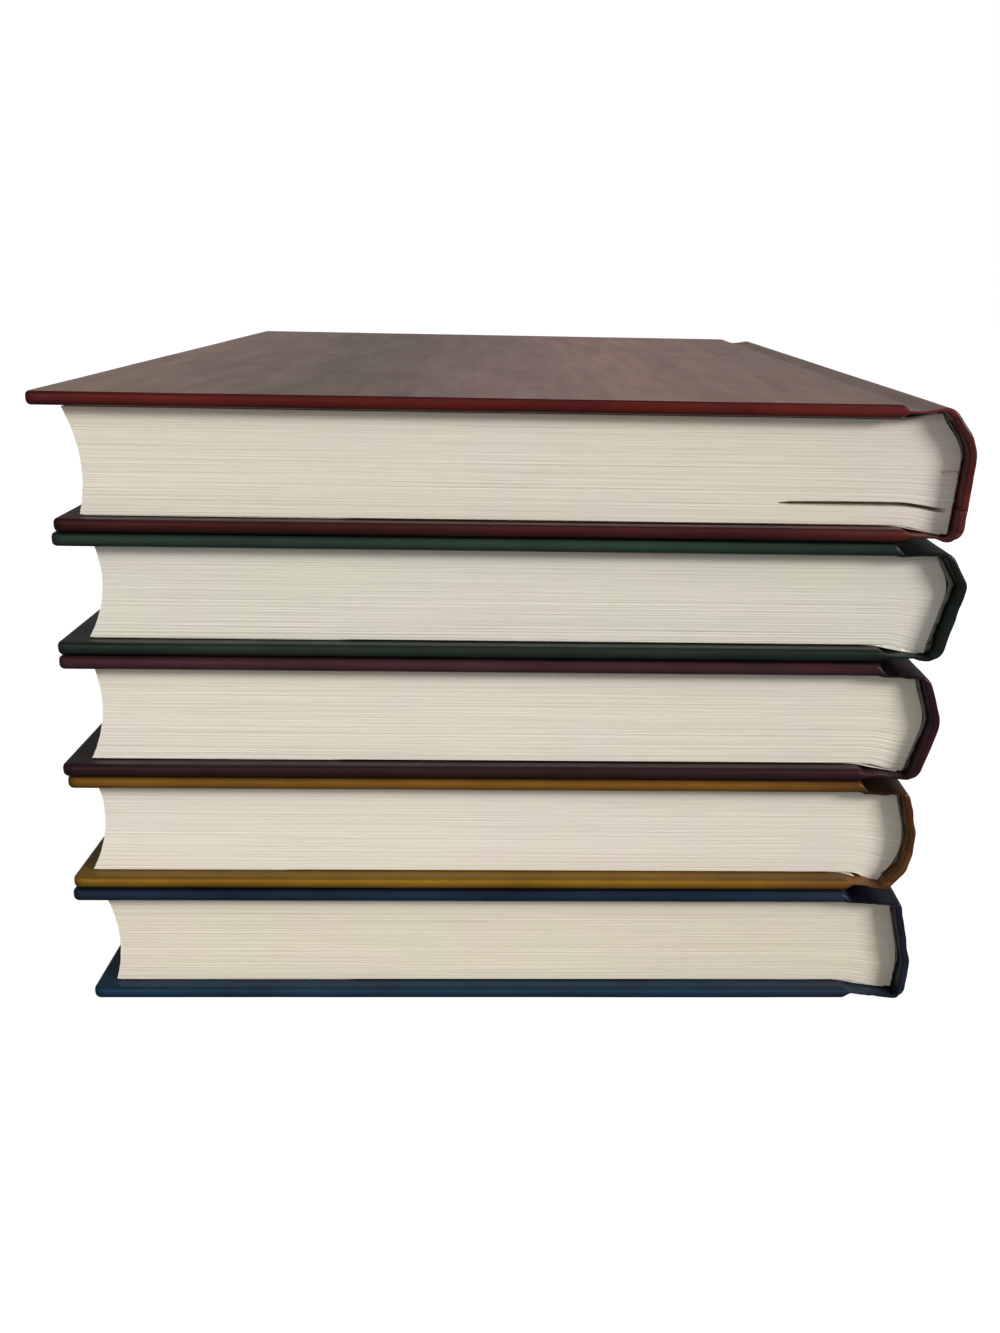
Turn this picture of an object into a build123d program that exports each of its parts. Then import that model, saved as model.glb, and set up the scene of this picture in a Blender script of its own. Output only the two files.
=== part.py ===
# Stack of five case-bound books. Millimetres.
# +X points at the spines, +Y runs from the tails to the heads, +Z is up.
# The origin is the bottom centre of the whole stack.
# Each book is drawn as a section across its spine, in (x, z), and drawn out along Y.
from build123d import *
import os

os.makedirs("parts", exist_ok=True)

# Case sizes, the same for every book
case_height = 235.0  # tail to head, over the cover paper
board_width = 150.4  # fore-edge to hinge edge, over the cover paper
board_thickness = 2.1
paper_thickness = 0.2  # cover paper
edge_radius = 0.8  # rounding of the covered board edges
turn_in = 15.0  # how far the cover paper is folded over inside
strip_thickness = 1.2  # card stiffener in the spine
hinge_setback = 0.4  # from a board's hinge edge to the corner of the cover paper

# Text block sizes, the same for every book
square = 3.5  # how far the boards stand past the leaves at head and tail
fore_hollow = 1.75  # depth of the hollow fore-edge
endpaper_thickness = 0.15
pastedown_margin = 3.2  # from the board's fore-edge to the pastedown
leaf_gap = 0.05  # between a pastedown and its flyleaf
joint_reach = 4.5  # from the board's hinge edge to the endpaper's fold
fold_gap = 0.3  # between the endpaper's fold and the rise of the shoulder
lining_thickness = 0.3
lining_margin = 3.0  # from the end of the leaves to the end of the lining
hollow_back = 0.8  # open space between the lining and the turned-in cover paper
shoulder_cover = 1.3  # from the corner of the cover paper to the block's shoulder below it

# The top book's front cover turns on a line in its joint groove
hinge_out = 3.2  # from the board's hinge edge
hinge_drop = 0.1  # below the top of the cover
hinge_gap = 0.1  # between the halves of the joint, and between the cover and the leaves

# Books from the bottom up. shifts are the fore-edges of the back and front boards, squares
# the depth of the fore-edge below each board, and grooves how high the floor of each joint
# groove stands off the board's inner face. spine lists the corners of the cover paper from
# the front joint to the back one: x from the back board's hinge edge, z as a share of the
# thickness, and radius.
books = [
    dict(name="navy", thickness=24.0, shifts=(-0.3, -2.2), squares=(4.0, 5.5), setback=0.3,
         grooves=(1.5, 0.5), spine=[(10.7, 0.89, 0.8), (13.4, 0.35, 5), (12.9, 0.01, 1.5)]),
    dict(name="ochre", thickness=23.2, shifts=(-1.9, -0.8), squares=(3.3, 4.8), setback=0.7,
         grooves=(1.2, 0.5),
         spine=[(11.5, 0.9, 0.8), (13.7, 0.47, 6), (12.6, 0.18, 1), (8.4, 0.01, 0.8)]),
    dict(name="plum", thickness=23.4, shifts=(-1.3, 0.3), squares=(5.0, 5.5), setback=0.2,
         grooves=(1.5, 0.5), spine=[(12.2, 0.885, 0.8), (15.0, 0.5, 4), (11.7, 0.01, 1.5)]),
    dict(name="green", thickness=22.4, shifts=(0.3, 1.4), squares=(5.3, 6.7), setback=0.5,
         grooves=(1.5, 0.5), spine=[(11.9, 0.93, 1), (15.5, 0.65, 1), (11.9, 0.01, 2)]),
    dict(name="red", thickness=24.2, shifts=(2.2, -0.1), squares=(4.1, 5.1), setback=0.0,
         grooves=(1.5, 1.3), spine=[(7.2, 0.98, 1.5), (12.4, 0.72, 4), (11.3, 0.01, 1.5)]),
]

trim_height = case_height - 2 * square
cover_depth = board_thickness + 2 * paper_thickness  # covered board with its turn-in
leaf_depth = cover_depth + 2 * endpaper_thickness + leaf_gap
groove_start = hinge_setback + 1.4  # flat floor of a joint groove, from the hinge edge
groove_end = groove_start + 2.8
spine_flap = paper_thickness + strip_thickness  # depth of the turned-in paper in the spine
lining_depth = spine_flap + paper_thickness + hollow_back
block_depth = lining_depth + lining_thickness


def path(corners):
    points = [(x, z) for x, z, radius in corners]
    return FilletPolyline(*points, radius=[radius for x, z, radius in corners[1:-1]])


def parallel(corners, depth):
    # The same corners moved to the right of the way they run
    moved = []
    for index, (x, z, radius) in enumerate(corners):
        here = Vector(x, z)
        runs = []
        if index > 0:
            runs.append((here - Vector(*corners[index - 1][:2])).normalized())
        if index < len(corners) - 1:
            runs.append((Vector(*corners[index + 1][:2]) - here).normalized())
        first = Vector(runs[0].Y, -runs[0].X)
        last = Vector(runs[-1].Y, -runs[-1].X)
        there = here + (first + last) * (depth / (1 + first.dot(last)))
        left = runs[0].cross(runs[-1]).Z > 0
        moved.append((there.X, there.Y, max(radius + (depth if left else -depth), 0.05)))
    return moved


def lengthened(corners, reach):
    # Both end runs made longer, or shorter by a negative reach
    (x0, z0, r0), (x1, z1, _) = corners[:2]
    (x2, z2, _), (x3, z3, r3) = corners[-2:]
    start = Vector(x0, z0) + (Vector(x0, z0) - Vector(x1, z1)).normalized() * reach
    end = Vector(x3, z3) + (Vector(x3, z3) - Vector(x2, z2)).normalized() * reach
    return [(start.X, start.Y, r0), *corners[1:-1], (end.X, end.Y, r3)]


def band(corners, near, far):
    # Section of a sheet that lies between two depths under a line of corners
    outer = path(parallel(corners, near))
    inner = path(parallel(corners, far))
    ends = [Line(outer @ 0, inner @ 0), Line(outer @ 1, inner @ 1)]
    return make_face([*outer.edges(), *inner.edges(), *ends])


def slab(x0, x1, z0, z1):
    return Pos((x0 + x1) / 2, (z0 + z1) / 2) * Rectangle(x1 - x0, z1 - z0)


def drawn(section, length, middle=0.0):
    return Pos(0, middle, 0) * extrude(Plane.XZ * section, length / 2, both=True)


def both_ends(section, length, outside):
    # The same piece at tail and head, with its outer end this far from the middle
    middle = outside - length / 2
    return drawn(section, length, -middle) + drawn(section, length, middle)


def half_space(x0, x1, thickness):
    return drawn(slab(x0, x1, -thickness, 2 * thickness), 2 * case_height)


def make_book(name, thickness, shifts, squares, setback, grooves, spine):
    back, front = shifts
    back_hinge = back + board_width
    front_hinge = front + board_width
    corners = [(back_hinge + x, z * thickness, radius) for x, z, radius in spine]
    shoulder = corners[0]
    heel = corners[-1]
    parts = {}

    # Boards: plain plates, with edges rounded to fit the folded paper
    def board(edge, low):
        plate = slab(edge + paper_thickness, edge + board_width, low, low + board_thickness)
        fore = plate.vertices().group_by(Axis.X)[0]
        return drawn(fillet(fore, edge_radius - paper_thickness), case_height - 2 * paper_thickness)

    parts["back_board"] = board(back, paper_thickness)
    parts["front_board"] = board(front, thickness - paper_thickness - board_thickness)

    # Card stiffener between the corners of the spine
    stiff = lengthened(corners, -(max(shoulder[2], heel[2]) + 0.3))
    card = band(stiff, paper_thickness, spine_flap)
    parts["spine_strip"] = drawn(card, case_height - 2 * paper_thickness)

    # Cover paper: one sheet round both boards and the spine, folded in on all four sides
    front_floor = thickness - cover_depth + grooves[1]
    back_floor = cover_depth - grooves[0]
    sheet = [
        (front + turn_in, thickness - cover_depth, 0),
        (front, thickness - cover_depth, edge_radius),
        (front, thickness, edge_radius),
        (front_hinge + hinge_setback, thickness, 0.5),
        (front_hinge + groove_start, front_floor, 0.6),
        (front_hinge + groove_end, front_floor, 1.0),
        *corners,
        (back_hinge + groove_end, back_floor, 1.0),
        (back_hinge + groove_start, back_floor, 0.6),
        (back_hinge + hinge_setback, 0, 0.5),
        (back, 0, edge_radius),
        (back, cover_depth, edge_radius),
        (back + turn_in, cover_depth, 0),
    ]
    cover = drawn(band(sheet, 0, paper_thickness), case_height)
    covered = [(front, front_hinge, thickness - cover_depth, thickness), (back, back_hinge, 0, cover_depth)]
    flaps = [thickness - cover_depth, cover_depth - paper_thickness]
    for (x0, x1, z0, z1), flap in zip(covered, flaps):
        cap = slab(x0 + edge_radius, x1, z0, z1)
        inside = slab(x0 + edge_radius, x1, flap, flap + paper_thickness)
        cover += both_ends(cap, paper_thickness, case_height / 2)
        cover += both_ends(inside, turn_in, case_height / 2)
    cover += both_ends(band(stiff, 0, spine_flap + paper_thickness), paper_thickness, case_height / 2)
    cover += both_ends(band(stiff, spine_flap, spine_flap + paper_thickness), turn_in, case_height / 2)

    # Endpapers: a pastedown that fills the board's inside between the turn-ins, a fold in
    # the joint and a flyleaf on the leaves
    def endpaper(edge, face, up):
        def layer(x0, x1, depth0, depth1):
            return slab(x0, x1, *sorted((face + up * depth0, face + up * depth1)))

        hinge = edge + board_width
        fold = hinge + joint_reach
        inner_face = endpaper_thickness + leaf_gap
        pasted = layer(edge + pastedown_margin, fold, 0, endpaper_thickness)
        bend = layer(fold - endpaper_thickness, fold, 0, inner_face + endpaper_thickness)
        free = layer(edge + squares[up < 0], fold, inner_face, inner_face + endpaper_thickness)
        raised = drawn(layer(edge + turn_in, hinge, -paper_thickness, 0), case_height - 2 * turn_in)
        return drawn(pasted, trim_height) + raised, drawn(bend + free, trim_height), fold

    front_paste, front_fly, front_fold = endpaper(front, thickness - cover_depth, -1)
    back_paste, back_fly, back_fold = endpaper(back, cover_depth, 1)
    parts["back_endpaper"] = back_paste + back_fly

    # Leaves: one block with a hollow fore-edge, raised shoulders and a back that follows the spine
    top = thickness - leaf_depth
    bottom = leaf_depth
    far = lengthened(corners, 3.0)
    shoulder_tip = (shoulder[0] - block_depth, shoulder[1] - shoulder_cover)
    heel_tip = (heel[0] - block_depth, heel[1] + shoulder_cover)
    fore_top = (front + squares[1], top)
    fore_bottom = (back + squares[0], bottom)
    fore_middle = ((fore_top[0] + fore_bottom[0]) / 2 + fore_hollow, thickness / 2)
    beyond = max(x for x, z, radius in corners) + 5
    outline = make_face([
        ThreePointArc(fore_bottom, fore_middle, fore_top),
        Polyline(fore_top, (front_fold + fold_gap, top), shoulder_tip, (beyond, shoulder_tip[1])),
        Line((beyond, shoulder_tip[1]), (beyond, heel_tip[1])),
        Polyline((beyond, heel_tip[1]), heel_tip, (back_fold + fold_gap, bottom), fore_bottom),
    ])
    back_line = path(parallel(far, block_depth))
    inside = make_face([
        *back_line.edges(),
        Polyline(back_line @ 1, (0, -thickness), (0, 2 * thickness), back_line @ 0),
    ])
    parts["text_block"] = drawn(outline & inside, trim_height)
    lining = outline & band(far, lining_depth, block_depth)
    parts["spine_lining"] = drawn(lining, trim_height - 2 * lining_margin)

    if name == "red":
        # The top book's front cover opens, so its sheets part at the hinge line
        line = front_hinge + hinge_out
        moving = half_space(-case_height, line - hinge_gap / 2, thickness)
        fixed = half_space(line + hinge_gap / 2, 2 * case_height, thickness)
        lower = drawn(slab(-case_height, 2 * case_height, -1, thickness / 2), 2 * case_height)
        parts["front_cover_paper"] = (cover & moving) - lower
        parts["cover_paper"] = (cover & fixed) + (cover & lower)
        parts["front_pastedown"] = front_paste & moving
        parts["front_flyleaf"] = front_fly + (front_paste & fixed)
    else:
        parts["cover_paper"] = cover
        parts["front_endpaper"] = front_paste + front_fly
    return parts


nodes = {}
floor = 0.0
for book in books:
    for part_name, solid in make_book(**book).items():
        nodes[f"{book['name']}_book_{part_name}"] = Pos(0, book["setback"], floor) * solid
    floor += book["thickness"]

size = Compound([*nodes.values()]).bounding_box()
centre = Pos(-size.center().X, -size.center().Y, -size.min.Z)
for node, solid in nodes.items():
    export_step(centre * solid, f"parts/{node}.step")

top_book = books[-1]
pivot_x = top_book["shifts"][1] + board_width + hinge_out - size.center().X
pivot_z = floor - hinge_drop - size.min.Z
print("stack", size.size, "hinge at x", round(pivot_x, 3), "z", round(pivot_z, 3))
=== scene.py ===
import bmesh
import bpy
import math
import random
from mathutils import Matrix, Vector, noise


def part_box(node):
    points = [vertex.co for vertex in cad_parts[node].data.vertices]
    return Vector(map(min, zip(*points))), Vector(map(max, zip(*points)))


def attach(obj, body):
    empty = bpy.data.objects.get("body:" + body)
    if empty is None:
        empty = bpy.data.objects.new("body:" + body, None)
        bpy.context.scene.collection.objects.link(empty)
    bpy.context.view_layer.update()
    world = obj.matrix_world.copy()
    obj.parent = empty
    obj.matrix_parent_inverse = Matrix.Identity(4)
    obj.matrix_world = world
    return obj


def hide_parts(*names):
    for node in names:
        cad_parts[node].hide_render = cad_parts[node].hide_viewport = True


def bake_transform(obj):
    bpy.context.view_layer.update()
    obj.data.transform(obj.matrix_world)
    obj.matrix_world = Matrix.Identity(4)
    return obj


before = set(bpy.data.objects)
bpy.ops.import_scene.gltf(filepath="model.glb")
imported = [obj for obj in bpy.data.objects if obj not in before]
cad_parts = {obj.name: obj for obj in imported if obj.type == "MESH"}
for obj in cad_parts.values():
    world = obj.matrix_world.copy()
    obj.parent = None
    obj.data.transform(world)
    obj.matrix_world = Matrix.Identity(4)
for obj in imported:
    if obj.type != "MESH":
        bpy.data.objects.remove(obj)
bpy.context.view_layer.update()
print("frame loaded")

mm = 0.001
bookNames = ["navy", "ochre", "plum", "green", "red"]  # from the floor up
bindery = {
    "coveredBoard": 2.5,  # board with its paper, mm
    "paper": 0.2,
    "jointSheet": 0.45,  # paper and lining in the joint groove
    "spineWall": 1.5,
    "grooveStart": 1.8,  # flat floor of the groove, from the board's hinge edge
    "grooveEnd": 4.6,
    "edgeRound": 1.08,  # covered board edges
    "seamHeight": 6.0,  # where the top book's cover sheet is parted, up its spine
    "hingeRound": 1.1,  # the joint's outer corner, inner corner and rim
    "floorRound": 0.9,
    "rimRound": 1.4,
    "outerLip": 0.4,  # how far paper lies past the board's hinge edge, outside and inside
    "innerLip": 0.3,
    "settle": 0.12,  # how far the boards bow in
    "turn": 2.0,  # where the leaves start to bend, past the board's hinge edge
    "bend": 2.2,  # half the width over which the top cover's paper bends, about its hinge
}
# For each book, in mm:
# spine: its corners, out from the back board's hinge edge, share of the thickness, radius
# grooves: how far the joint floors lie outside the boards' inner faces, back and front
# hollow: depth of the hollow fore-edge
# shoulder: how far the top leaf lies under the first corner of the spine
# squares: how far the lowest and highest leaves stand back from the covers
books = {
    "navy": {"spine": [(10.7, 0.89, 1.4), (11.0, 0.78, 2.5), (13.4, 0.35, 8), (12.9, 0.015, 2.2)],
             "grooves": (1.5, 0.5), "hollow": 1.6, "lining": 0.3, "shoulder": 0.75,
             "squares": (4.0, 5.5), "seed": 11},
    "ochre": {"spine": [(11.5, 0.9, 2.2), (13.7, 0.47, 9), (12.6, 0.18, 3), (8.6, -0.005, 0.6)],
              "grooves": (1.2, 0.1), "hollow": 1.8, "lining": 0.3, "shoulder": 0.75,
              "squares": (3.3, 4.8), "seed": 23},
    "plum": {"spine": [(12.2, 0.885, 3.0), (15.0, 0.5, 7), (11.7, 0.015, 2.8)],
             "grooves": (1.5, 0.5), "hollow": 1.75, "lining": 0.7, "shoulder": 0.75,
             "squares": (5.0, 5.5), "seed": 37},
    "green": {"spine": [(11.9, 0.93, 3.4), (15.5, 0.65, 2.6), (11.9, 0.015, 3.2)],
              "grooves": (1.5, 0.5), "hollow": 1.85, "lining": 0.85, "shoulder": 0.75,
              "squares": (5.3, 6.7), "seed": 41},
    "red": {"spine": [(7.2, 0.99, 2.6), (12.4, 0.72, 9), (11.3, 0.015, 3.2)],
            "grooves": (1.5, 1.3), "hollow": 1.75, "lining": 0.25, "shoulder": 1.55,
            "squares": (4.1, 5.1), "seed": 59},
}


def ease(t):
    # 0 to 1, slow at both ends
    t = min(max(t, 0), 1)
    return t * t * (3 - 2 * t)


def newPiece(name, bm, smooth=True):
    mesh = bpy.data.meshes.new(name)
    bm.to_mesh(mesh)
    bm.free()
    for face in mesh.polygons:
        face.use_smooth = smooth
    obj = bpy.data.objects.new(name, mesh)
    bpy.context.scene.collection.objects.link(obj)
    return obj


def readBook(name):
    # Everything a book's pieces need, in mm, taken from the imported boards
    b = dict(books[name])
    front = [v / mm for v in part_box(f"{name}_book_front_board")]
    back = [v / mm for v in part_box(f"{name}_book_back_board")]
    p = bindery["paper"]
    b["name"] = name
    b["f0"], b["f1"] = front[0].x - p, front[1].x
    b["b0"], b["b1"] = back[0].x - p, back[1].x
    b["z0"], b["z1"] = back[0].z - p, front[1].z + p
    b["thick"] = b["z1"] - b["z0"]
    b["tail"], b["head"] = back[0].y - p, back[1].y + p
    b["leafLow"], b["leafHigh"] = [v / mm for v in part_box(f"{name}_book_text_block")]
    b["foreBottom"] = b["b0"] + b["squares"][0]
    b["foreTop"] = b["f0"] + b["squares"][1]
    b["turn"] = min(b["f1"], b["b1"]) + bindery["turn"]
    return b


sections = {
    "sharp": 0.12,  # a smaller radius than this is left as a corner
    "spineStep": 1.1,  # longest stretches of an outline, mm
    "boardStep": 7.0,
}


def parallel(corners, depth):
    # The same corners moved to the right of the way they run
    moved = []
    for i, (x, z, r) in enumerate(corners):
        here = Vector((x, z))
        runs = []
        if i > 0:
            runs.append((here - Vector(corners[i - 1][:2])).normalized())
        if i < len(corners) - 1:
            runs.append((Vector(corners[i + 1][:2]) - here).normalized())
        n0 = Vector((runs[0].y, -runs[0].x))
        n1 = Vector((runs[-1].y, -runs[-1].x))
        there = here + (n0 + n1) * (depth / (1 + n0.dot(n1)))
        left = runs[0].cross(runs[-1]) > 0
        moved.append((there.x, there.y, max(r + (depth if left else -depth), 0.1)))
    return moved


def sectionRing(corners, longest):
    # A closed outline from its corners: each is rounded, then long runs are divided
    ring = []
    count = len(corners)
    for i, (x, z, r) in enumerate(corners):
        here = Vector((x, 0, z))
        before = Vector((corners[i - 1][0], 0, corners[i - 1][1])) - here
        after = Vector((corners[(i + 1) % count][0], 0, corners[(i + 1) % count][1])) - here
        bend = math.pi - before.angle(after)
        reach = min(r * math.tan(bend / 2), before.length * 0.49, after.length * 0.49)
        if r < sections["sharp"] or reach < 0.05:
            ring.append(here)
            continue
        start = here + before.normalized() * reach
        end = here + after.normalized() * reach
        pieces = max(3, min(9, round(bend * (3.5 + r * 0.8))))
        for k in range(pieces + 1):
            t = k / pieces
            ring.append(start * (1 - t) ** 2 + here * 2 * t * (1 - t) + end * t * t)
    fine = []
    for i, co in enumerate(ring):
        following = ring[(i + 1) % len(ring)]
        cuts = max(1, math.ceil((following - co).length / longest(co, following)))
        fine += [co.lerp(following, k / cuts) for k in range(cuts)]
    return fine


def loft(ring, stations, place, band=False, pairs=()):
    # A closed prism: the ring is drawn through the stations, and place gives each point.
    # Both ends are cut straight across between the pairs of ring points given.
    bm = bmesh.new()
    first = [bm.verts.new(place(k, co, 0)) for k, co in enumerate(ring)]
    cap = bm.faces.new(first)
    for step in range(1, len(stations)):
        whole = [cap] + list(cap.edges) + list(cap.verts)
        grown = bmesh.ops.extrude_face_region(bm, geom=whole, use_keep_orig=(step == 1))
        cap = [g for g in grown["geom"] if isinstance(g, bmesh.types.BMFace)][0]
        order = list(cap.verts)
        for k, vert in enumerate(order):
            vert.co = place(k, ring[k], step)
    if band:
        for face in [f for f in bm.faces if len(f.verts) > 4]:
            closeBand(bm, face)
    if pairs:
        for verts in (first, order):
            for k, m in pairs:
                bmesh.ops.connect_verts(bm, verts=[verts[k], verts[m]])
    bmesh.ops.triangulate(bm, faces=[f for f in bm.faces if len(f.verts) > 4])
    bmesh.ops.recalc_face_normals(bm, faces=bm.faces)
    return bm


def closeBand(bm, face):
    # The end of a folded sheet: triangles laced between its outer and inner side,
    # from the end of the sheet that lies nearest the fore-edge and highest
    verts = list(face.verts)
    bmesh.ops.delete(bm, geom=[face], context="FACES_ONLY")
    turn = min(range(len(verts)), key=lambda k: (verts[k].co.x - verts[k].co.z * 0.5))
    verts = verts[turn:] + verts[:turn]
    a, c = 0, len(verts) - 1
    while c - a > 1:
        stepA = (verts[a + 1].co - verts[c].co).length
        stepC = (verts[c - 1].co - verts[a].co).length
        if stepA < stepC:
            bm.faces.new((verts[a], verts[a + 1], verts[c]))
            a += 1
        else:
            bm.faces.new((verts[a], verts[c - 1], verts[c]))
            c -= 1


def caseRuns(b):
    # The outer line of the case from the front board's inner corner round to the back board's
    t, board = b["thick"], bindery["coveredBoard"]
    r, gs, ge = bindery["edgeRound"], bindery["grooveStart"], bindery["grooveEnd"]
    spine = [(b["b1"] + x, z * t, q) for x, z, q in b["spine"]]
    frontFloor = t - board + b["grooves"][1]
    backFloor = board - b["grooves"][0]
    frontEdge = [(b["f0"], t - board, r * 0.92), (b["f0"], t, r)]
    lip, hingeR = bindery["outerLip"], bindery["hingeRound"]
    floorR, rimR = bindery["floorRound"], bindery["rimRound"]
    frontJoint = [(b["f1"] + lip, t, hingeR), (b["f1"] + gs, frontFloor, floorR),
                  (b["f1"] + ge, frontFloor, rimR)]
    backJoint = [(b["b1"] + ge, backFloor, rimR), (b["b1"] + gs, backFloor, floorR),
                 (b["b1"] + lip, 0, hingeR)]
    backEdge = [(b["b0"], 0, r), (b["b0"], board, r * 0.92)]
    return frontEdge, frontJoint, spine, backJoint, backEdge


def fineSpine(b):
    # How long a stretch of the outline may be: short in the joints and spine, long on the boards
    hinge = min(b["f1"], b["b1"]) - 1.0
    return lambda a, c: sections["spineStep"] if (a.x + c.x) / 2 > hinge else sections["boardStep"]


def onRun(start, end, z):
    # The square corner at height z on the run between two corners
    f = (z - start[1]) / (end[1] - start[1])
    return start[0] + (end[0] - start[0]) * f, z, 0


def caseRing(b, part="whole"):
    frontEdge, frontJoint, spine, backJoint, backEdge = caseRuns(b)
    wall, sheet, board = bindery["spineWall"], bindery["jointSheet"], bindery["coveredBoard"]
    t = b["thick"]
    innerSpine = parallel(spine, wall)
    lip, hingeR = bindery["innerLip"], bindery["hingeRound"]
    innerFront = [(b["f1"] + lip, t - board, hingeR)] + parallel(frontJoint, sheet)[1:]
    innerBack = parallel(backJoint, sheet)[:-1] + [(b["b1"] + lip, board, hingeR)]
    seam = onRun(spine[-1], spine[-2], bindery["seamHeight"])
    innerSeam = onRun(innerSpine[-1], innerSpine[-2], bindery["seamHeight"])
    if part == "front":
        outer = frontEdge + frontJoint + spine[:-1] + [seam]
        inner = [innerSeam] + innerSpine[-2::-1] + innerFront[::-1]
    elif part == "back":
        outer = [seam, spine[-1]] + backJoint + backEdge
        inner = innerBack[::-1] + [innerSpine[-1], innerSeam]
    else:
        outer = frontEdge + frontJoint + spine + backJoint + backEdge
        inner = innerBack[::-1] + innerSpine[::-1] + innerFront[::-1]
    return sectionRing(outer + inner, fineSpine(b))


def endStations(low, high, rounding, between):
    # Close together where the ends are rounded, wide apart along the middle
    near = [0, 0.05, 0.17, 0.36, 0.62, 1.0, 1.7]
    ends = [rounding * s for s in near]
    count = max(2, round((high - low - 2 * rounding) / between))
    inner = low + ends[-1], high - ends[-1]
    middle = [inner[0] + (inner[1] - inner[0]) * i / count for i in range(1, count)]
    return [low + e for e in ends] + middle + [high - e for e in reversed(ends)]


caseEnds = {  # how covers end at the head and tail, mm
    "board": 0.9,  # rounding
    "joint": 0.14,
    "spine": 0.45,
    "corner": 1.6,  # board corners, seen from above
    "drift": 0.12,  # how unevenly the folds lie
    "between": 5.0,  # stations along the middle
    "loose": (0.12, 0.3),  # waves of the paper in the joint, all along and more at the ends
    "dents": (0.15, 0.35),  # the same for knocks on the spine
    "tired": 6.0,  # how far in from the ends the extra wear reaches
}


def makeCase(b, name, part="whole"):
    rnd = random.Random(b["seed"])
    ring = caseRing(b, part)
    ends = caseEnds
    stations = endStations(b["tail"], b["head"], ends["board"], ends["between"])
    count = len(ring)
    normals = []
    for k in range(count):
        along = (ring[(k + 1) % count] - ring[k - 1]).normalized()
        normals.append(Vector((along.z, 0, -along.x)))  # into the section
    offset = Vector((rnd.uniform(0, 90), rnd.uniform(0, 90), rnd.uniform(0, 90)))
    settle = bindery["settle"]

    def place(k, co, step):
        y = stations[step]
        fromEnd = min(y - b["tail"], b["head"] - y)
        upper = co.z > b["thick"] / 2
        hinge = b["f1"] if upper else b["b1"]
        loose = ease((co.x - hinge - 0.3) / 1.2)  # 0 on the board, 1 in the joint and spine
        onSpine = ease((co.x - hinge - 6.0) / 1.6)
        reach = ends["board"] + (ends["joint"] - ends["board"]) * loose
        reach += (ends["spine"] - ends["joint"]) * onSpine
        wear = 1 + 0.25 * noise.noise(Vector((co.x, y, co.z * 3)) / 5 + offset)
        inset = 0.0
        if fromEnd < reach:
            inset = reach - math.sqrt(max(reach ** 2 - (reach - fromEnd) ** 2, 0))
        # the boards bow a little, so dark gaps of changing width show between books
        bow = settle * (0.6 + 0.6 * noise.noise(Vector((co.x, y, 20 * upper)) / 60 + offset))
        outside = (co.z - b["thick"] if upper else -co.z) + bindery["coveredBoard"]
        bow *= ease(outside / 1.5)
        p = Vector((co.x, 0, co.z - bow if upper else co.z + bow)) + normals[k] * inset * wear
        # board corners are round in plan
        fore = b["f0"] if upper else b["b0"]
        corner = ends["corner"]
        if fromEnd < corner and co.x - fore < 4 * corner:
            shift = corner - math.sqrt(corner ** 2 - (corner - fromEnd) ** 2)
            p.x += shift * (1 - (co.x - fore) / (4 * corner))
        nearEnd = math.exp(-fromEnd / ends["tired"])
        wave = noise.noise(Vector((co.x * 1.2, y * 0.9, 30 * upper)) / 5 + offset)
        p.z += loose * (1 - onSpine) * wave * (ends["loose"][0] + ends["loose"][1] * nearEnd)
        dent = noise.noise(Vector((0, y * 0.8, co.z * 1.3)) / 6 + offset)
        p.x -= onSpine * abs(dent) * (ends["dents"][0] + ends["dents"][1] * nearEnd)
        side = 1 if y < 0 else -1
        drift = abs(noise.noise(Vector((co.x / 30, co.z / 6, 0)) + offset)) * ends["drift"]
        return Vector((p.x, y + side * drift * math.exp(-fromEnd), p.z + b["z0"])) * mm

    obj = newPiece(name, loft(ring, stations, place, band=True))
    for face in obj.data.polygons:
        face.use_smooth = abs(face.normal.y) < 0.985
    return obj


print("shapes ready")


card = {"trim": (0.75, 0.75, 0.1), "bevel": 0.75}  # how much smaller than its cut size, mm


def pieceName(node):
    first, *others = node.split("_")
    return first + "".join(word.capitalize() for word in others)


def makeBoard(node):
    # The card inside a cover, its corners broken so the paper can lie round them
    low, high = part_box(node)
    size = high - low - Vector(card["trim"]) * mm * 2
    bm = bmesh.new()
    bmesh.ops.create_cube(bm, size=1)
    bmesh.ops.scale(bm, vec=size, verts=bm.verts)
    bmesh.ops.translate(bm, vec=(low + high) / 2, verts=bm.verts)
    bmesh.ops.bevel(bm, geom=list(bm.edges), offset=card["bevel"] * mm, offset_type="OFFSET",
                    affect="EDGES", segments=3, profile=0.5, material=-1)
    return newPiece(pieceName(node), bm)


spineSheets = {  # mm
    "cardIn": 0.3,  # card: below the paper, and above the inner face
    "cardShort": 4.0,  # and shorter than the case at each end
    "liningOut": 0.1,  # lining: its outer face, below the inner side of the spine
    "liningIn": 0.05,  # and its inner face, with its thickness added
    "liningShort": 3.6,
    "ragged": 0.8,
    "topTuck": 1.0,  # both stay clear of the joints
    "footTuck": 0.3,
    "lowest": 1.3,
    "step": 0.9,
    "lengths": 12,
    "endStep": 0.5,
}


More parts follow.
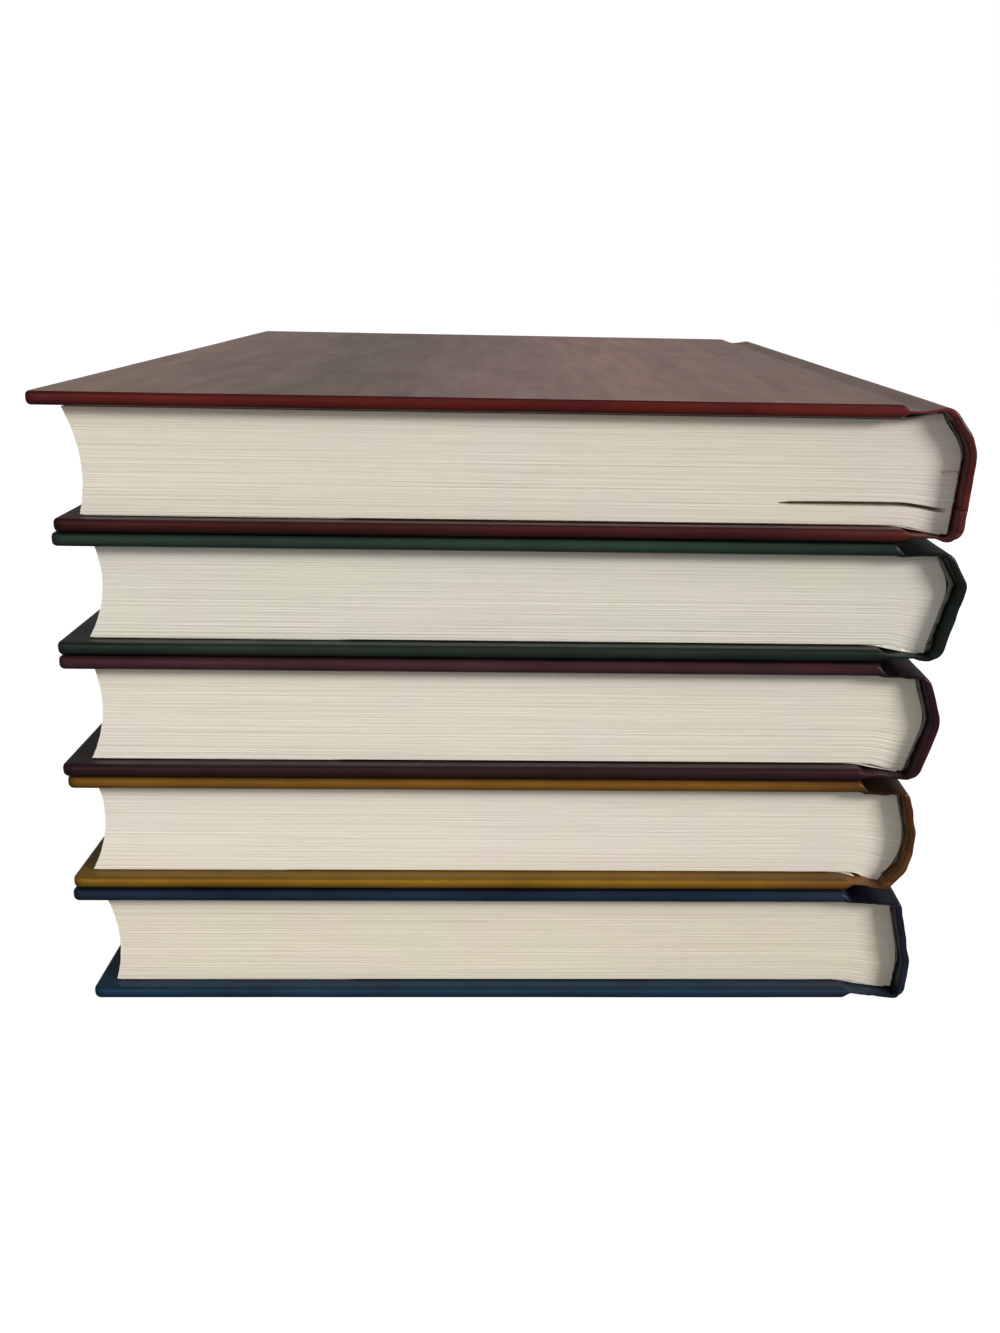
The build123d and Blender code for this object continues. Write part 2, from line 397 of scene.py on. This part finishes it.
def makeStrip(b, name, nearSide, farSide, short, ragged=0.0):
    # A sheet that lies inside the spine, between two depths from its outside
    size = spineSheets
    spine = [(b["b1"] + x, z * b["thick"], r) for x, z, r in b["spine"]]
    outer = parallel(spine, nearSide)
    inner = parallel(spine, farSide)
    for path in (outer, inner):
        path[0] = (path[0][0], min(path[0][1], spine[0][1] - size["topTuck"]), 0.1)
        path[-1] = (path[-1][0] - size["footTuck"], max(path[-1][1], size["lowest"]), 0.1)
    ring = sectionRing(outer + inner[::-1], lambda a, c: size["step"])
    low, high, count = b["tail"] + short, b["head"] - short, size["lengths"]
    middle = [low + (high - low) * i / count for i in range(1, count)]
    stations = [low, low + size["endStep"]] + middle + [high - size["endStep"], high]

    def place(k, co, step):
        y = stations[step]
        if step in (0, len(stations) - 1):
            y += ragged * noise.noise(Vector((co.z * 0.9, b["seed"], step))) * (1 if step == 0 else -1)
        return Vector((co.x, y, co.z + b["z0"])) * mm

    return newPiece(name, loft(ring, stations, place, band=True))


leaves = {
    "rows": 84,
    "columns": 64,
    "sideRows": 44,
    "crowd": 1.25,  # columns crowd towards the back
    "relief": 0.055,  # how far single leaves stand out, mm
    "gather": 0.05,  # how far whole gatherings stand out
    "underTop": 0.42,  # room for the endpapers above and below
    "overBottom": 0.3,
    "slitFade": 5,  # rows over which the leaves beside a slit ease back
}
# Where leaves have parted at the tail: from and to, past the hinge edge; row counted from the bottom
slits = {"red": [{"from": -21.1, "to": 8.2, "open": 0.3, "deep": 4.0, "row": 16},
                 {"from": 7.2, "to": 10.9, "open": 0.1, "deep": 0.5, "row": 43}]}


def makeLeaves(b, name):
    low, high = b["leafLow"], b["leafHigh"]
    rows, columns, sides = leaves["rows"], leaves["columns"], leaves["sideRows"]
    rnd = random.Random(b["seed"] * 7)
    inner = sectionInner(b)
    frontTop = b["z1"] - bindery["coveredBoard"] - leaves["underTop"]
    backBottom = b["z0"] + bindery["coveredBoard"] + leaves["overBottom"]
    tail, head = low.y, high.y
    foreTop, foreBottom = b["foreTop"], b["foreBottom"]
    parted = slits.get(b["name"], [])
    # the outline seen from above: tail, back, head, fore-edge
    ring = []
    for i in range(columns):
        ring.append(Vector((1 - (1 - i / columns) ** leaves["crowd"], 0, 0)))
    for i in range(sides):
        ring.append(Vector((1, i / sides, 0)))
    for i in range(columns):
        ring.append(Vector((1 - (i / columns) ** leaves["crowd"], 1, 0)))
    for i in range(sides):
        ring.append(Vector((0, 1 - i / sides, 0)))
    leafShift = [rnd.uniform(-1, 1) ** 3 for _ in range(rows + 1)]
    offset = Vector((rnd.uniform(0, 50), rnd.uniform(0, 50), 0))

    def place(k, co, step):
        s = step / rows
        fore = foreBottom + (foreTop - foreBottom) * s + b["hollow"] * (1 - (2 * s - 1) ** 2)
        x = fore + (inner(s)[0] - fore) * co.x
        zFlat = backBottom + (frontTop - backBottom) * s
        z = zFlat + (inner(s)[1] - zFlat) * ease((x - b["turn"]) / (inner(s)[0] - b["turn"]))
        y = tail + (head - tail) * co.y
        # leaves stand out unevenly along every cut edge
        n1 = noise.noise(Vector((x / 26, y / 26, step * 0.83)) + offset)
        n2 = noise.noise(Vector((x / 60, y / 60, step * 0.09)) + offset)
        stand = leaves["relief"] * (0.6 * leafShift[step] + 0.8 * n1) + leaves["gather"] * n2
        if co.y == 0:
            y += stand
        elif co.y == 1:
            y -= stand
        if co.x == 0:
            x += stand
        for slit in parted if co.y == 0 else []:
            gap = (x - b["b1"] - slit["from"]) / (slit["to"] - slit["from"])
            if 0 < gap < 1:
                ragged = 0.85 + 0.35 * noise.noise(Vector((x / 2.5, slit["from"], 0)))
                half = slit["open"] / 2 * math.sin(math.pi * gap) ** 0.7 * ragged
                away = step - slit["row"]
                if away >= 2:
                    z += half * math.exp(-(away - 2) / leaves["slitFade"])
                elif away <= -1:
                    z -= half * math.exp((away + 1) / leaves["slitFade"])
                else:
                    y += slit["deep"]
        return Vector((x, y, z)) * mm

    across = [(i, 2 * columns + sides - i) for i in range(1, columns)]
    bm = loft(ring, list(range(rows + 1)), place, pairs=across)
    # leaf rows run along the cut edges: u is the way along, v counts up through the leaves
    uv = bm.loops.layers.uv.new("leafWay")
    for face in bm.faces:
        for loop in face.loops:
            co = loop.vert.co
            loop[uv].uv = (co.x + co.y, co.z)
    return newPiece(name, bm, smooth=False)


leafBack = {  # where the leaves end, under the spine, mm
    "gap": 0.15,
    "topTip": 0.3,  # how far the top and lowest leaf stop short
    "lowTip": 0.2,
    "lowest": 0.85,
    "blur": 0.12,  # share of the height over which its corners are taken off
}


def sectionInner(b):
    # Where the back of the leaves lies, from the bottom leaf (0) to the top one (1), in mm
    spine = [(b["b1"] + x, z * b["thick"], r) for x, z, r in b["spine"]]
    back = parallel(spine, bindery["spineWall"] + leafBack["gap"] + b["lining"])
    tipTop = (back[0][0] - leafBack["topTip"], spine[0][1] - b["shoulder"])
    tipLow = (back[-1][0] - leafBack["lowTip"], spine[-1][1] + leafBack["lowest"])
    line = [tipLow] + [(x, z) for x, z, r in back[-2:0:-1]] + [tipTop]

    def at(s):
        z = tipLow[1] + (tipTop[1] - tipLow[1]) * s
        for (x0, z0), (x1, z1) in zip(line, line[1:]):
            if z0 <= z <= z1 and z1 > z0:
                f = (z - z0) / (z1 - z0)
                return x0 + (x1 - x0) * f, z + b["z0"]
        return (line[0] if z < line[0][1] else line[-1])[0], z + b["z0"]

    def rounded(s):
        spots = [at(min(max(s + leafBack["blur"] * k / 3, 0), 1)) for k in range(-3, 4)]
        return sum(spot[0] for spot in spots) / len(spots), at(s)[1]

    return rounded


endpapers = {  # mm
    "sheet": 0.09,
    "flat": 0.3,  # the free leaf, from the board's inner face
    "lift": 0.05,  # and off the leaves
    "shoulderLift": 0.07,
    "foreGap": 2.5,  # pastedown, back from the leaves' fore-edge
    "endGap": 4.3,  # and from the ends of the case
    "bend": (0.86, 0.7, 0.55, 0.4, 0.25, 0.1),  # where it's bent to follow the leaves up the shoulder
    "torn": 0.4,  # unevenness of its end in the joint, and along the leaves
    "uneven": 0.12,
    "lengths": 14,
    "step": 3.0,
}


def makeEndpaper(b, name, top, part="whole"):
    # One folded leaf: pasted to the board, down through the joint, and back along the leaves
    size = endpapers
    tipX, tipZ = sectionInner(b)(1 if top else 0)
    sign = 1 if top else -1
    hinge = b["f1"] if top else b["b1"]
    fore = b["foreTop"] if top else b["foreBottom"]
    face = b["z1"] - bindery["coveredBoard"] if top else b["z0"] + bindery["coveredBoard"]
    flat = face - sign * size["flat"]
    pasteZ = face - sign * 0.02
    board = hinge + 0.1
    pasted = [(fore + size["foreGap"], pasteZ, 0), (board, pasteZ, 0.8)]
    fold = [(hinge + 2.6, (face + tipZ) / 2 - sign * 0.15, 1.5), (tipX - 1.3, tipZ + sign * 0.14, 0.1)]
    along = []
    for f in size["bend"]:
        x = b["turn"] + (tipX - b["turn"]) * f
        along.append((x, flat + (tipZ - flat) * ease(f) + sign * size["shoulderLift"], 0))
    along.append((fore + 0.6, flat + sign * size["lift"], 0))
    if part == "pasted":
        corners = pasted + [(hinge + 2.0, face - sign * 0.25, 0)]
    elif part == "free":
        corners = along
    else:
        corners = pasted + fold + along
    ring = sectionRing(corners + parallel(corners, size["sheet"] * sign)[::-1], lambda a, c: size["step"])
    low, high, count = b["leafLow"].y, b["leafHigh"].y, size["lengths"]

    def place(k, co, step):
        onBoard = abs(co.z - face) < 0.14 and co.x < board + 0.5
        inset = (size["endGap"] - (low - b["tail"])) * ease((board - 1.0 - co.x) / 3) if onBoard else 0.0
        loose = ease((co.x - board) / 2) * size["torn"] + ease((co.x - board + 40) / 30) * size["uneven"]
        torn = noise.noise(Vector((co.x * 0.9, b["seed"], sign * 3 + step))) * loose
        near = low + 0.1 + inset + (torn - 0.25 * loose if step == 0 else 0)
        far = high - 0.1 - inset + (torn if step == count else 0)
        return Vector((co.x, near + (far - near) * step / count, co.z)) * mm

    return newPiece(name, loft(ring, list(range(count + 1)), place, band=part != "whole"), smooth=False)


def newMaterial(name):
    mat = bpy.data.materials.new(name)
    mat.use_nodes = True
    nodes = mat.node_tree.nodes
    nodes.clear()
    out = nodes.new("ShaderNodeOutputMaterial")
    shader = nodes.new("ShaderNodeBsdfPrincipled")
    mat.node_tree.links.new(shader.outputs[0], out.inputs[0])
    return mat, shader


class Wires:
    # Short hand for building a node tree
    def __init__(self, mat):
        self.tree = mat.node_tree

    def node(self, kind, values=None, **inputs):
        made = self.tree.nodes.new("ShaderNode" + kind)
        for key, value in (values or {}).items():
            setattr(made, key, value)
        for key, value in inputs.items():
            socket = made.inputs[int(key[1:])] if key[0] == "i" and key[1:].isdigit() else made.inputs[key]
            if isinstance(value, bpy.types.NodeSocket):
                self.tree.links.new(value, socket)
            else:
                socket.default_value = value
        return made

    def mapped(self, source, scale):
        m = self.node("Mapping", Vector=source)
        m.inputs["Scale"].default_value = scale
        return m.outputs[0]

    def noise(self, vector, scale, detail=3.0, rough=0.55):
        n = self.node("TexNoise", Vector=vector, Scale=scale, Detail=detail, Roughness=rough)
        return n.outputs["Fac"]

    def ramp(self, fac, stops, mode="LINEAR"):
        r = self.node("ValToRGB", Fac=fac)
        r.color_ramp.interpolation = mode
        while len(r.color_ramp.elements) < len(stops):
            r.color_ramp.elements.new(0.5)
        for element, (pos, col) in zip(r.color_ramp.elements, stops):
            element.position = pos
            element.color = (*col, 1) if len(col) == 3 else col
        return r.outputs[0]

    def mix(self, fac, a, b, mode="MIX"):
        m = self.node("Mix", {"data_type": "RGBA", "blend_type": mode})
        for socket, value in ((m.inputs[0], fac), (m.inputs[6], a), (m.inputs[7], b)):
            if isinstance(value, bpy.types.NodeSocket):
                self.tree.links.new(value, socket)
            else:
                socket.default_value = value if isinstance(value, float) else (*value, 1)
        return m.outputs[2]

    def math(self, op, a, b=0.0):
        m = self.node("Math", {"operation": op}, i0=a, i1=b)
        return m.outputs[0]

    def choose(self, fac, a, b):
        # a mix whose factor is another node's answer
        mixed = self.mix(0.5, a, b)
        self.tree.links.new(fac, mixed.node.inputs[0])
        return mixed

    def finish(self, shader, colour, height, strength, distance):
        bump = self.node("Bump", Height=height, Strength=strength, Distance=distance)
        self.tree.links.new(bump.outputs[0], shader.inputs["Normal"])
        self.tree.links.new(colour, shader.inputs["Base Color"])


def grey(v):
    return (v, v, v)


def linear(r, g, b):
    # a colour chosen in 0-255 display values, as the shader wants it
    return tuple(((c / 255 + 0.055) / 1.055) ** 2.4 if c > 10 else c / 255 / 12.92 for c in (r, g, b))


def toneStops(name, part):
    board, spine = (tuple(v * coverLook["depth"] for v in linear(*coverTones[name][key]))
                    for key in (part, "spine"))
    return [(0.0, board), (coverLook["blendFrom"], board), (1.0, spine)]


leafLook = {
    "lineDepth": 0.38,  # how strongly the lines between leaves show
    "width": 0.16,  # m, over which painted shade darkens the leaves towards the spine
    "aged": [(0.0, 1.0), (0.5, 0.95), (1.0, 0.87)],
}
leafTones = {  # paper of each book's leaves, and of the thin lines between them
    "red": (linear(232, 224, 212), linear(196, 184, 168)),
    "green": (linear(230, 227, 214), linear(200, 196, 180)),
    "plum": (linear(238, 231, 217), linear(208, 198, 180)),
    "ochre": (linear(240, 233, 220), linear(212, 202, 184)),
    "navy": (linear(236, 228, 210), linear(208, 196, 170)),
}


def leafMaterial(name):
    mat, shader = newMaterial(name + "Leaves")
    w = Wires(mat)
    paper, line = leafTones[name]
    uv = w.node("UVMap", {"uv_map": "leafWay"}).outputs[0]
    fine = w.noise(w.mapped(uv, (40, 9000, 1)), 1.0, 3.0, 0.6)  # single leaves
    medium = w.noise(w.mapped(uv, (22, 3200, 1)), 1.0, 3.0, 0.65)  # a few together
    broad = w.noise(w.mapped(uv, (9, 420, 1)), 1.0, 3.0, 0.6)  # gatherings
    where = w.node("TexCoord").outputs["Object"]
    cloud = w.noise(where, 38.0, 4.0, 0.6)
    lines = w.math("ADD", w.math("MULTIPLY", fine, 0.45), w.math("MULTIPLY", medium, 0.55))
    thin = w.ramp(lines, [(0.38, grey(1.0)), (0.48, grey(0.0))])
    toned = w.choose(w.math("MULTIPLY", thin, leafLook["lineDepth"]), paper, line)
    tint = w.ramp(broad, [(0.3, grey(0.95)), (0.7, grey(1.0))])
    toned = w.mix(1.0, toned, tint, "MULTIPLY")
    blush = w.ramp(cloud, [(0.35, linear(254, 251, 253)), (0.65, linear(254, 255, 250))])
    toned = w.mix(1.0, toned, blush, "MULTIPLY")
    # painted shade: the leaves darken towards the spine, as the light falls off across the stack
    across = w.math("DIVIDE", w.node("SeparateXYZ", Vector=where).outputs[0], leafLook["width"])
    aged = w.ramp(w.math("ADD", across, 0.5), [(s, grey(v)) for s, v in leafLook["aged"]])
    toned = w.mix(1.0, toned, aged, "MULTIPLY")
    shader.inputs["Roughness"].default_value = 0.88
    shader.inputs["Specular IOR Level"].default_value = 0.25
    w.finish(shader, toned, lines, 0.35, 0.00025)
    return mat


# Cover papers: the upper board and most of the spine, the lower board and the spine's foot, and the
# tone that both go over to round the spine
coverTones = {
    "navy": {"upper": (26, 40, 60), "lower": (30, 58, 82), "spine": (36, 44, 60)},
    "ochre": {"upper": (118, 80, 26), "lower": (138, 102, 28), "spine": (96, 58, 32)},
    "plum": {"upper": (68, 40, 46), "lower": (50, 28, 32), "spine": (58, 26, 34)},
    "green": {"upper": (42, 60, 50), "lower": (38, 50, 42), "spine": (26, 38, 32)},
    "red": {"upper": (92, 28, 25), "lower": (66, 26, 26), "spine": (96, 40, 38)},
}
coverLook = {
    "depth": 0.85,  # how much darker the lamination makes the print
    "blendFrom": 0.75,  # share of the width where the boards' tone starts to go over to the spine's
    "edge": 0.0028,  # m, height of a covered board's edge
    # painted highlight and shade across the boards' edges, standing in for light on their rounding and the
    # dark gaps between books; from the outer face to the inner one: upper board, then lower board
    "upper": [(0.0, 0.42), (0.12, 0.62), (0.34, 1.25), (0.55, 0.95), (0.85, 0.5), (1.0, 0.6)],
    "under": [(0.0, 0.22), (0.2, 0.42), (0.45, 0.8), (0.66, 1.25), (0.8, 0.55), (1.0, 0.85)],
    # painted shade in the joint under the next book, across its width
    "pit": [(0.05, 1.0), (0.14, 0.3), (0.5, 0.3), (0.75, 1.0)],
    "jointShadeWide": 0.012,
    "jointShadeDeep": 0.0031,
    "gloss": [(0.3, 0.30), (0.75, 0.44)],  # roughness, where smeared and where clean
}


def coverMaterial(name, book):
    mat, shader = newMaterial(name + "Cover")
    w = Wires(mat)
    look = coverLook
    where = w.node("TexCoord").outputs["Object"]
    xyz = w.node("SeparateXYZ", Vector=where)
    warp = w.noise(where, 22.0, 3.0)
    span = (book["b1"] + 14 - book["b0"]) * mm
    x = w.math("DIVIDE", w.math("SUBTRACT", xyz.outputs[0], book["b0"] * mm), span)
    x = w.math("ADD", x, w.math("MULTIPLY", w.math("SUBTRACT", warp, 0.5), 0.12))
    middle = (book["z0"] + book["thick"] * 0.45) * mm
    isLow = w.math("LESS_THAN", w.math("ADD", xyz.outputs[2], w.math("MULTIPLY", warp, 0.004)), middle)
    tone = w.choose(isLow, w.ramp(x, toneStops(name, "upper")), w.ramp(x, toneStops(name, "lower")))
    patches = w.noise(w.mapped(where, (1, 1, 2.5)), 55.0, 5.0, 0.6)
    shade = w.ramp(patches, [(0.3, grey(0.72)), (0.7, grey(1.18))])
    tone = w.mix(1.0, tone, shade, "MULTIPLY")
    # painted highlight and shade across each board's edge, by height within the board
    high = w.math("SUBTRACT", book["z1"] * mm, xyz.outputs[2])
    low = w.math("SUBTRACT", xyz.outputs[2], book["z0"] * mm)
    upper = w.ramp(w.math("DIVIDE", high, look["edge"]), [(s, grey(v)) for s, v in look["upper"]])
    under = w.ramp(w.math("DIVIDE", low, look["edge"]), [(s, grey(v)) for s, v in look["under"]])
    tone = w.mix(1.0, tone, w.choose(isLow, upper, under), "MULTIPLY")
    if name == "red":
        tone = topPrint(w, xyz, where, tone, book)
    else:
        # painted shade in the hollow of the joint under the next book
        past = w.math("DIVIDE", w.math("SUBTRACT", xyz.outputs[0], book["f1"] * mm), look["jointShadeWide"])
        pit = w.ramp(past, [(s, grey(v)) for s, v in look["pit"]])
        isDeep = w.math("LESS_THAN", high, look["jointShadeDeep"])
        tone = w.mix(isDeep, tone, w.mix(1.0, tone, pit, "MULTIPLY"))
    smear = w.noise(w.mapped(where, (1, 0.6, 1)), 90.0, 4.0, 0.6)
    gloss = w.ramp(smear, [(s, grey(v)) for s, v in look["gloss"]])
    w.tree.links.new(gloss, shader.inputs["Roughness"])
    shader.inputs["Specular IOR Level"].default_value = 0.12
    shader.inputs["Coat Weight"].default_value = 0.04
    shader.inputs["Coat Roughness"].default_value = 0.15
    fibre = w.noise(where, 900.0, 3.0, 0.6)
    dent = w.noise(where, 130.0, 2.0, 0.5)
    w.finish(shader, tone, w.math("ADD", w.math("MULTIPLY", fibre, 0.25), dent), 0.22, 0.0004)
    return mat


printLook = {
    "fields": [(0.0, (150, 125, 110)), (0.3, (120, 102, 95)), (0.65, (160, 125, 115)),
               (1.0, (130, 110, 98))],  # from fore-edge to spine
    "drift": 0.3,  # how far clouds push the fields, of the width
    "border": 0.45,  # mm of ground colour left at the folds
    "spine": 11.2,  # where the print ends, past the back board's hinge edge
    "down": 3.0,  # and below the top
}


def topPrint(w, xyz, where, edgeTone, book):
    # The top cover's print: soft upright fields of colour, on the top and the joint
    look = printLook
    width = (book["b1"] + look["spine"] - book["f0"]) * mm
    cloud = w.noise(w.mapped(where, (3.2, 1.0, 1)), 16.0, 5.0, 0.6)
    x = w.math("DIVIDE", w.math("SUBTRACT", xyz.outputs[0], book["f0"] * mm), width)
    x = w.math("ADD", x, w.math("MULTIPLY", w.math("SUBTRACT", cloud, 0.5), look["drift"]))
    fields = w.ramp(x, [(place, linear(*colour)) for place, colour in look["fields"]])
    streaks = w.noise(w.mapped(where, (9.0, 1.0, 1)), 30.0, 4.0, 0.6)
    fields = w.mix(1.0, fields, w.ramp(streaks, [(0.3, grey(0.78)), (0.7, grey(1.15))]), "MULTIPLY")
    wobble = w.math("MULTIPLY", w.noise(where, 60.0, 2.0), 0.0004)
    limits = [
        w.math("SUBTRACT", xyz.outputs[1], (book["tail"] + look["border"]) * mm),
        w.math("SUBTRACT", (book["head"] - look["border"]) * mm, xyz.outputs[1]),
        w.math("SUBTRACT", xyz.outputs[0], (book["f0"] + look["border"]) * mm),
        w.math("SUBTRACT", (book["b1"] + look["spine"]) * mm, xyz.outputs[0]),
        w.math("SUBTRACT", xyz.outputs[2], (book["z1"] - look["down"]) * mm),
    ]
    inside = limits[0]
    for limit in limits[1:]:
        inside = w.math("MINIMUM", inside, limit)
    return w.choose(w.math("GREATER_THAN", inside, wobble), edgeTone, fields)


def plainMaterial(name, colour, rough, scale=400.0):
    mat, shader = newMaterial(name)
    w = Wires(mat)
    flecks = w.noise(w.node("TexCoord").outputs["Object"], scale, 4.0, 0.65)
    dark = tuple(c * 0.8 for c in colour)
    pale = tuple(min(c * 1.1, 1) for c in colour)
    shader.inputs["Roughness"].default_value = rough
    w.finish(shader, w.ramp(flecks, [(0.3, dark), (0.7, pale)]), flecks, 0.3, 0.0002)
    return mat


greyboardMaterial = plainMaterial("greyboard", linear(150, 142, 130), 0.9)
liningMaterial = plainMaterial("liningPaper", linear(120, 118, 108), 0.9, 700.0)
endpaperMaterial = plainMaterial("endpaper", linear(232, 226, 212), 0.85, 900.0)


def setMaterial(obj, mat):
    obj.data.materials.clear()
    obj.data.materials.append(mat)


def fit(piece, mat, body, node):
    # Dress a piece and put it in the place of its CAD node
    setMaterial(piece, mat)
    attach(piece, body)
    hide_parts(node)


def fitTopCover(b, cover):
    # The top book's cover sheet in two parts, parted up the spine: the front part is left where it lies,
    # the back part lies still on the stack
    front = makeCase(b, "redCoverPaperFront", "front")
    setMaterial(front, cover)
    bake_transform(front)
    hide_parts("red_book_front_cover_paper")
    back = makeCase(b, "redCoverPaperBack", "back")
    fit(back, cover, "stack", "red_book_cover_paper")


def fitSpine(b):
    name, wall, size = b["name"], bindery["spineWall"], spineSheets
    strip = makeStrip(b, name + "SpineStrip", size["cardIn"], wall - size["cardIn"], size["cardShort"])
    fit(strip, greyboardMaterial, "stack", f"{name}_book_spine_strip")
    lining = makeStrip(b, name + "SpineLining", wall + size["liningOut"],
                       wall + size["liningIn"] + b["lining"], size["liningShort"], size["ragged"])
    fit(lining, liningMaterial, "stack", f"{name}_book_spine_lining")


def fitEndpapers(b):
    # title, on the front, which part of the sheet, the body it rides on, its node
    name = b["name"]
    sheets = [("BackEndpaper", False, "whole", "stack", "back_endpaper")]
    if name == "red":
        sheets.append(("FrontPastedown", True, "pasted", "top_front_cover", "front_pastedown"))
        sheets.append(("FrontFlyleaf", True, "free", "stack", "front_flyleaf"))
    else:
        sheets.append(("FrontEndpaper", True, "whole", "stack", "front_endpaper"))
    for title, top, part, body, node in sheets:
        sheet = makeEndpaper(b, name + title, top, part)
        fit(sheet, endpaperMaterial, body, f"{name}_book_{node}")


for name in bookNames:
    b = readBook(name)
    cover = coverMaterial(name, b)
    if name == "red":
        fitTopCover(b, cover)
    else:
        case = makeCase(b, name + "CoverPaper")
        fit(case, cover, "stack", f"{name}_book_cover_paper")
    block = makeLeaves(b, name + "TextBlock")
    fit(block, leafMaterial(name), "stack", f"{name}_book_text_block")
    for side in ("front", "back"):
        body = "top_front_cover" if (name, side) == ("red", "front") else "stack"
        node = f"{name}_book_{side}_board"
        fit(makeBoard(node), greyboardMaterial, body, node)
    fitSpine(b)
    fitEndpapers(b)
    print(name, "book made")

studio = {
    "cameraAt": (0.00272, -0.36281, 0.13803),  # m
    "turn": 2.336,  # degrees
    "down": 20.88,
    "roll": 1.148,
    "lens": 37.19,
    "shiftX": -0.055,
    "shiftY": 0.0959,
    "floorSize": 6,
    "floorTone": 0.32,  # what the floor throws back at the books
    "floorLift": 0.93,  # what the camera sees on top of that
    "sky": 0.2,
    "lookAt": (0, -0.1, 0.06),
}
lamps = {
    "window": {"at": (2.85, -2.05, 1.45), "size": (1.15, 0.8), "power": 142.0, "tone": (1.0, 0.98, 0.95)},
    "fill": {"at": (-1.6, -2.6, 0.9), "size": (1.6, 1.2), "power": 15.0, "tone": (0.98, 0.99, 1.0)},
    "overhead": {"at": (0.2, -1.1, 1.9), "size": (1.2, 0.9), "power": 5.0, "tone": (1, 1, 1),
                 "lookAt": (0, 0, 0.06)},
}


def aim(turn, down, roll):
    yaw, pitch, lean = (math.radians(a) for a in (turn, down, roll))
    ahead = Vector((math.sin(yaw) * math.cos(pitch), math.cos(yaw) * math.cos(pitch), -math.sin(pitch)))
    right = Vector((math.cos(yaw), -math.sin(yaw), 0))
    up = right.cross(ahead)
    leanRight = math.cos(lean) * right + math.sin(lean) * up
    leanUp = -math.sin(lean) * right + math.cos(lean) * up
    return Matrix((leanRight, leanUp, -ahead)).transposed().to_euler()


def makeCamera():
    data = bpy.data.cameras.new("camera")
    data.sensor_fit = "AUTO"
    data.sensor_width = 36
    data.lens = studio["lens"]
    data.shift_x = studio["shiftX"]
    data.shift_y = studio["shiftY"]
    data.clip_start = 0.01
    obj = bpy.data.objects.new("camera", data)
    obj.location = studio["cameraAt"]
    obj.rotation_euler = aim(studio["turn"], studio["down"], studio["roll"])
    bpy.context.scene.collection.objects.link(obj)
    bpy.context.scene.camera = obj


def makeFloor():
    bm = bmesh.new()
    bmesh.ops.create_grid(bm, x_segments=1, y_segments=1, size=studio["floorSize"])
    floor = newPiece("floor", bm, smooth=False)
    mat, shader = newMaterial("floor")
    w = Wires(mat)
    grain = w.noise(w.node("TexCoord").outputs["Object"], 700.0, 2.0)
    tone = studio["floorTone"]
    paleTone = w.ramp(grain, [(0.3, grey(tone)), (0.7, grey(tone + 0.01))])
    w.tree.links.new(paleTone, shader.inputs["Base Color"])
    shader.inputs["Roughness"].default_value = 1.0
    shader.inputs["Specular IOR Level"].default_value = 0.0
    shader.inputs["Emission Color"].default_value = (1, 1, 1, 1)
    seen = w.node("LightPath").outputs["Is Camera Ray"]
    w.tree.links.new(w.math("MULTIPLY", seen, studio["floorLift"]), shader.inputs["Emission Strength"])
    setMaterial(floor, mat)


def makeLamp(name, lamp):
    data = bpy.data.lights.new(name, "AREA")
    data.shape = "RECTANGLE"
    data.size, data.size_y = lamp["size"]
    data.energy = lamp["power"]
    data.color = lamp["tone"]
    obj = bpy.data.objects.new(name, data)
    obj.location = lamp["at"]
    ahead = Vector(lamp.get("lookAt", studio["lookAt"])) - Vector(lamp["at"])
    obj.rotation_euler = ahead.to_track_quat("-Z", "Y").to_euler()
    bpy.context.scene.collection.objects.link(obj)


def makeSky():
    # The camera sees a white backdrop; everything else is lit by a softer sky
    world = bpy.data.worlds.new("studio")
    bpy.context.scene.world = world
    world.use_nodes = True
    background = world.node_tree.nodes["Background"]
    background.inputs[0].default_value = (1, 1, 1, 1)
    w = Wires(world)
    seen = w.math("MULTIPLY", w.node("LightPath").outputs["Is Camera Ray"], 1.0 - studio["sky"])
    world.node_tree.links.new(w.math("ADD", seen, studio["sky"]), background.inputs[1])


makeCamera()
makeFloor()
for lampName, lamp in lamps.items():
    makeLamp(lampName, lamp)
makeSky()
bpy.context.scene.view_settings.view_transform = "Standard"
print("studio ready")
